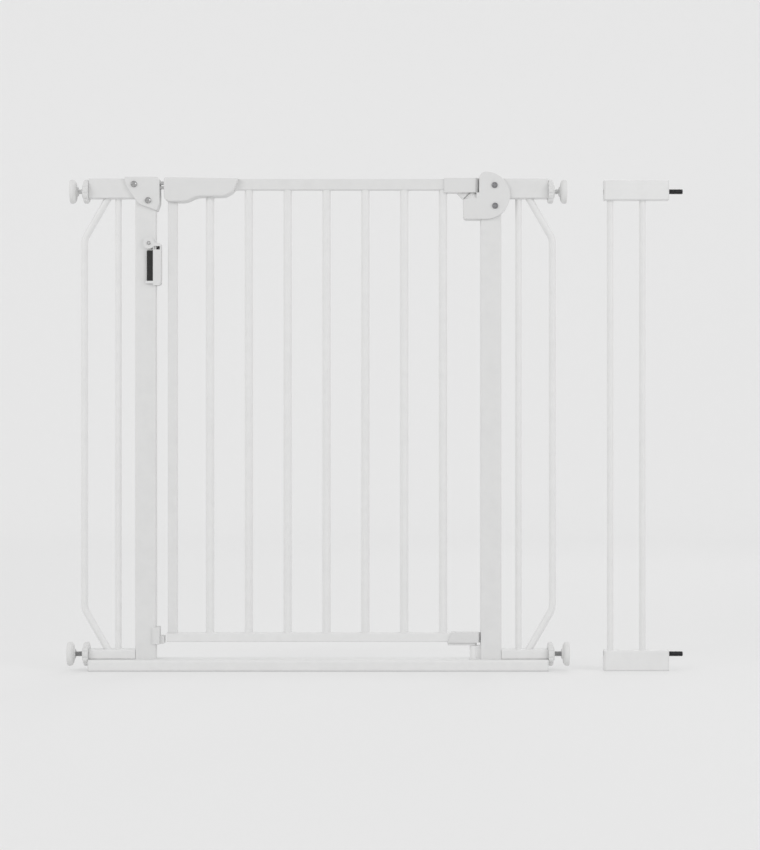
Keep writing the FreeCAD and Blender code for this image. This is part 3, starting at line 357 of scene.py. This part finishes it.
for word in ("upper_left", "upper_right", "lower_left", "lower_right"):
    low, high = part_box("spindle_" + word)
    z = (low.z + high.z) / 2
    x0, x1 = (high.x, low.x) if high.x < 0 else (low.x, high.x)
    verts, faces = threaded_rod(x0, x1, z, x0, SPINDLE_RADIUS, SPINDLE_RADIUS)
    # painted light on the upper spindles, painted shade on the lower
    zinc = "painted_light_zinc" if word.startswith("upper") else "painted_shade_zinc"
    rod = add_piece("threaded_spindle_" + word, verts, faces, "bolt_" + word, "dark_steel", 50, zinc)
    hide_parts("spindle_" + word)

low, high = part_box("panel_threaded_pins")
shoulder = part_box("panel_pin_plugs")[1].x + 0.0001  # the thread starts where the plug ends
verts, faces = joined(threaded_rod(low.x, high.x, z, shoulder, SPINDLE_RADIUS, PIN_SHANK_RADIUS)
                      for z in (high.z - SPINDLE_RADIUS, low.z + SPINDLE_RADIUS))
pins = add_piece("panel_screw_pins", verts, faces, "extension_panel", "black_steel", 50)
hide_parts("panel_threaded_pins")


def weld_ring(x, z, radius, up, leg, half_depth, steps=40, profile=7):
    """A weld bead round an upright round bar, above (up is 1) or below (-1) a flat tube face at z."""
    verts, faces = [], []
    for k in range(steps):
        angle = 2 * math.pi * k / steps
        ripple = 1.0 + 0.10 * math.sin(angle * 13.0) + 0.06 * math.sin(angle * 5.0 + 1.3)

        def point(r, height):
            """At a distance from the bar's axis, kept within the tube's face."""
            y = max(-half_depth, min(half_depth, r * math.sin(angle)))
            return (x + r * math.cos(angle), y, z + up * height)

        for j in range(profile):
            turn = j / (profile - 1) * math.pi / 2
            out = leg * ripple * (1 - math.sin(turn))
            verts.append(point(radius + out, leg * ripple * (1 - math.cos(turn))))
        verts.append(point(radius - BEAD_ROOT, leg))
        verts.append(point(radius - BEAD_ROOT, -BEAD_SINK))
        verts.append(point(radius + leg, -BEAD_SINK))
    width = profile + 3
    for k in range(steps):
        n = (k + 1) % steps
        for j in range(width):
            m = (j + 1) % width
            faces.append((k * width + j, n * width + j, n * width + m, k * width + m))
    return verts, faces


def weld_group(name, rings, body):
    verts, faces = joined(weld_ring(*ring) for ring in rings)
    add_piece(name, verts, faces, body, "white_steel", 60)


def bar_centres(node_name):
    """Middle X of each upright bar in a node, from its vertices."""
    xs = sorted({round(v.co.x, 5) for v in frame["nodes"][node_name].data.vertices})
    groups = [[xs[0]]]
    for x in xs[1:]:
        if x - groups[-1][-1] > 0.010:
            groups.append([])
        groups[-1].append(x)
    return [(g[0] + g[-1]) / 2 for g in groups]


def half_depth_of(node_name):
    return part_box(node_name)[1].y - TUBE_MARGIN


low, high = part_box("door_bars")
radius, half_depth = (high.y - low.y) / 2, half_depth_of("door_top_rail")
centres = bar_centres("door_bars")
rings = [(x, low.z, radius, 1, DOOR_BEAD, half_depth) for x in centres]
rings += [(x, high.z, radius, -1, DOOR_BEAD, half_depth) for x in centres[1:-1]]
weld_group("door_bar_welds", rings, "door")

low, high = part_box("panel_bars")
radius, half_depth = (high.y - low.y) / 2, half_depth_of("panel_upper_tube")
rings = []
for x in bar_centres("panel_bars"):
    rings.append((x, low.z, radius, 1, FRAME_BEAD, half_depth))
    rings.append((x, high.z, radius, -1, FRAME_BEAD, half_depth))
weld_group("panel_bar_welds", rings, "extension_panel")

half_depth = half_depth_of("upper_stub_tube_left")
rings = []
for word in ("left", "right"):
    low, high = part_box("side_bar_" + word)
    x, radius = (low.x + high.x) / 2, (high.x - low.x) / 2
    rings.append((x, low.z, radius, 1, FRAME_BEAD, half_depth))
    rings.append((x, high.z, radius, -1, FRAME_BEAD, half_depth))
weld_group("side_bar_welds", rings, "gate_frame")


def coil_spring(name, x0, x1, z, radius, wire, turns, body, steps=26, sides=10):
    """A helical wire spring along X with closed ends."""
    total = int(turns * steps)
    verts, faces = [], []
    x_low, x_high = x0 + wire / 2, x1 - wire / 2
    centres = []
    for i in range(total + 1):
        t = i / total
        angle = 2 * math.pi * turns * t
        lead = min(1.0, max(0.0, (t * turns - 0.75) / (turns - 1.5)))  # end turns lie flat
        x = x_low + (x_high - x_low) * lead
        centres.append(Vector((x, radius * math.cos(angle), z + radius * math.sin(angle))))
    for i, centre in enumerate(centres):
        ahead = centres[min(i + 1, total)] - centres[max(i - 1, 0)]
        ahead.normalize()
        out = (centre - Vector((centre.x, 0, z))).normalized()
        across = ahead.cross(out).normalized()
        out = across.cross(ahead)
        for k in range(sides):
            a = 2 * math.pi * k / sides
            verts.append(centre + (out * math.cos(a) + across * math.sin(a)) * wire / 2)
    for i in range(total):
        for k in range(sides):
            a, b = i * sides + k, i * sides + (k + 1) % sides
            faces.append((a, b, b + sides, a + sides))
    faces.append(tuple(range(sides)))
    faces.append(tuple(total * sides + k for k in range(sides)))
    return add_piece(name, verts, faces, body, "bright_steel", 70)


low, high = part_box("latch_spring")
coil = coil_spring("latch_coil_spring", low.x, high.x, (low.z + high.z) / 2,
                   (high.y - low.y) / 2 - SPRING_WIRE / 2, SPRING_WIRE, SPRING_TURNS, "door")
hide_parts("latch_spring")


def half_round_ribs(name, x0, x1, y0, y1, z, body, arc=9):
    """Low grip ribs across a flat top, running along Y, each with arc points across it."""
    verts, faces = [], []
    step = (x1 - x0) / RIB_COUNT
    half = step * RIB_SHARE
    rows = ((y0, RIB_END), (y0 + RIB_TAPER, 1.0), (y1 - RIB_TAPER, 1.0), (y1, RIB_END))
    for i in range(RIB_COUNT):
        middle = x0 + (i + 0.5) * step
        base = len(verts)
        for y, share in rows:
            for j in range(arc):
                angle = math.pi * j / (arc - 1)
                verts.append((middle - half * math.cos(angle), y, z + RIB_HEIGHT * share * math.sin(angle)))
        for row in range(len(rows) - 1):
            for j in range(arc):
                a, b = base + row * arc + j, base + row * arc + (j + 1) % arc
                faces.append((a, b, b + arc, a + arc))
        for row in (0, len(rows) - 1):
            faces.append(tuple(base + row * arc + j for j in range(arc)))
    return add_piece(name, verts, faces, body, "white_plastic", 80)


low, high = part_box("release_button")
half_round_ribs("release_button_ribs", low.x + RIB_MARGIN[0], high.x - RIB_MARGIN[0],
                low.y + RIB_MARGIN[1], high.y - RIB_MARGIN[1], high.z - RIB_SINK, "latch")


# ---- floor, backdrop and light ----
STAGE_GLOW = 0.36
STAGE_NEAR = 0.462  # paper tone under the gate
STAGE_FAR = 0.575  # and far from the lights
STAGE_FADE = (0.6, 4.6)  # where the tone starts and stops changing, metres from the origin
STAGE_FLAT = (1.2, 2.6, 3.8)  # radii of the flat floor's rings
STAGE_CURVE = 1.8  # radius of the curve between floor and wall
STAGE_WALL = (3.5, 6.0)  # heights of the wall's rings
STAGE_DROP = 0.0004  # the paper lies this far below the gate
WORLD_LIGHT = 0.63
LIGHT_SPREAD = 100.0  # degrees; keeps the light off the floor beside each box


def round_stage(steps=96, curve_steps=12):
    """One seamless pale dish: a floor that curves up into a wall all round."""
    line = [(radius, 0.0) for radius in STAGE_FLAT]
    edge = STAGE_FLAT[-1]
    for i in range(1, curve_steps + 1):
        angle = math.pi / 2 * i / curve_steps
        line.append((edge + STAGE_CURVE * math.sin(angle), STAGE_CURVE * (1 - math.cos(angle))))
    line += [(edge + STAGE_CURVE, height) for height in STAGE_WALL]
    verts, faces = [(0.0, 0.0, -STAGE_DROP)], []
    for r, z in line:
        for k in range(steps):
            angle = 2 * math.pi * k / steps
            verts.append((r * math.cos(angle), r * math.sin(angle), z - STAGE_DROP))
    for k in range(steps):
        n = (k + 1) % steps
        faces.append((0, 1 + k, 1 + n))
        for i in range(len(line) - 1):
            a = 1 + i * steps
            faces.append((a + k, a + steps + k, a + steps + n, a + n))
    mesh = bpy.data.meshes.new("studio_dish")
    mesh.from_pydata(verts, [], faces)
    for face in mesh.polygons:
        face.use_smooth = True
    dish = bpy.data.objects.new("studio_dish", mesh)
    scene.collection.objects.link(dish)
    n = Nodes("studio_paper", 0.9, specular=0.0)
    away = n.new("ShaderNodeVectorMath", operation="LENGTH")
    n.link(n.coords.outputs["Object"], away.inputs[0])
    reach = n.new("ShaderNodeMapRange", interpolation_type="SMOOTHSTEP")
    n.link(away.outputs["Value"], reach.inputs["Value"])
    reach.inputs["From Min"].default_value = STAGE_FADE[0]
    reach.inputs["From Max"].default_value = STAGE_FADE[1]
    tone = n.mix(reach.outputs["Result"], (STAGE_NEAR,) * 3, (STAGE_FAR,) * 3)
    n.shader.inputs["Emission Color"].default_value = (1.0, 1.0, 1.0, 1.0)
    n.shader.inputs["Emission Strength"].default_value = STAGE_GLOW
    n.finish(tone)
    mesh.materials.append(n.mat)


round_stage()

world = bpy.data.worlds.new("studio")
scene.world = world
world.use_nodes = True
background = world.node_tree.nodes["Background"]
background.inputs["Color"].default_value = (1.0, 1.0, 1.0, 1.0)
background.inputs["Strength"].default_value = WORLD_LIGHT


def soft_light(name, place, target, size, power):
    """A soft box that faces a point and doesn't show itself."""
    light = bpy.data.lights.new(name, "AREA")
    light.shape = "RECTANGLE"
    light.size, light.size_y = size
    light.energy = power
    light.spread = math.radians(LIGHT_SPREAD)
    lamp = bpy.data.objects.new(name, light)
    scene.collection.objects.link(lamp)
    lamp.visible_camera = False
    lamp.location = place
    lamp.rotation_euler = (target - lamp.location).to_track_quat("-Z", "Y").to_euler()


middle = (cad_low + cad_high) / 2
soft_light("key_soft_box", (-2.8, -2.1, 1.9), middle, (1.5, 1.2), 8.0)
soft_light("fill_soft_box", (2.9, -2.0, 1.7), middle, (1.5, 1.2), 7.4)
soft_light("top_soft_box", (0.3, 0.2, 3.6), middle, (2.4, 1.6), 2.0)
soft_light("back_soft_box", (1.2, 3.2, 2.8), middle, (1.8, 1.8), 6.5)

# ---- camera: level and straight on, as the photograph ----
CAMERA_BACK = 3.0
VIEW_HEIGHT = 1.3175  # height of the view at the gate
VIEW_MIDDLE = (0.0953, 0.380)
SENSOR = 24.0  # millimetres
camera_data = bpy.data.cameras.new("camera")
camera = bpy.data.objects.new("camera", camera_data)
scene.collection.objects.link(camera)
scene.camera = camera
camera.location = (VIEW_MIDDLE[0], -CAMERA_BACK, VIEW_MIDDLE[1])
camera.rotation_euler = (math.pi / 2, 0, 0)
camera_data.sensor_fit = "VERTICAL"
camera_data.sensor_height = SENSOR
camera_data.sensor_width = SENSOR
camera_data.lens = SENSOR * CAMERA_BACK / VIEW_HEIGHT
camera_data.clip_start = 0.05
camera_data.clip_end = 60.0
scene.view_settings.view_transform = "Standard"
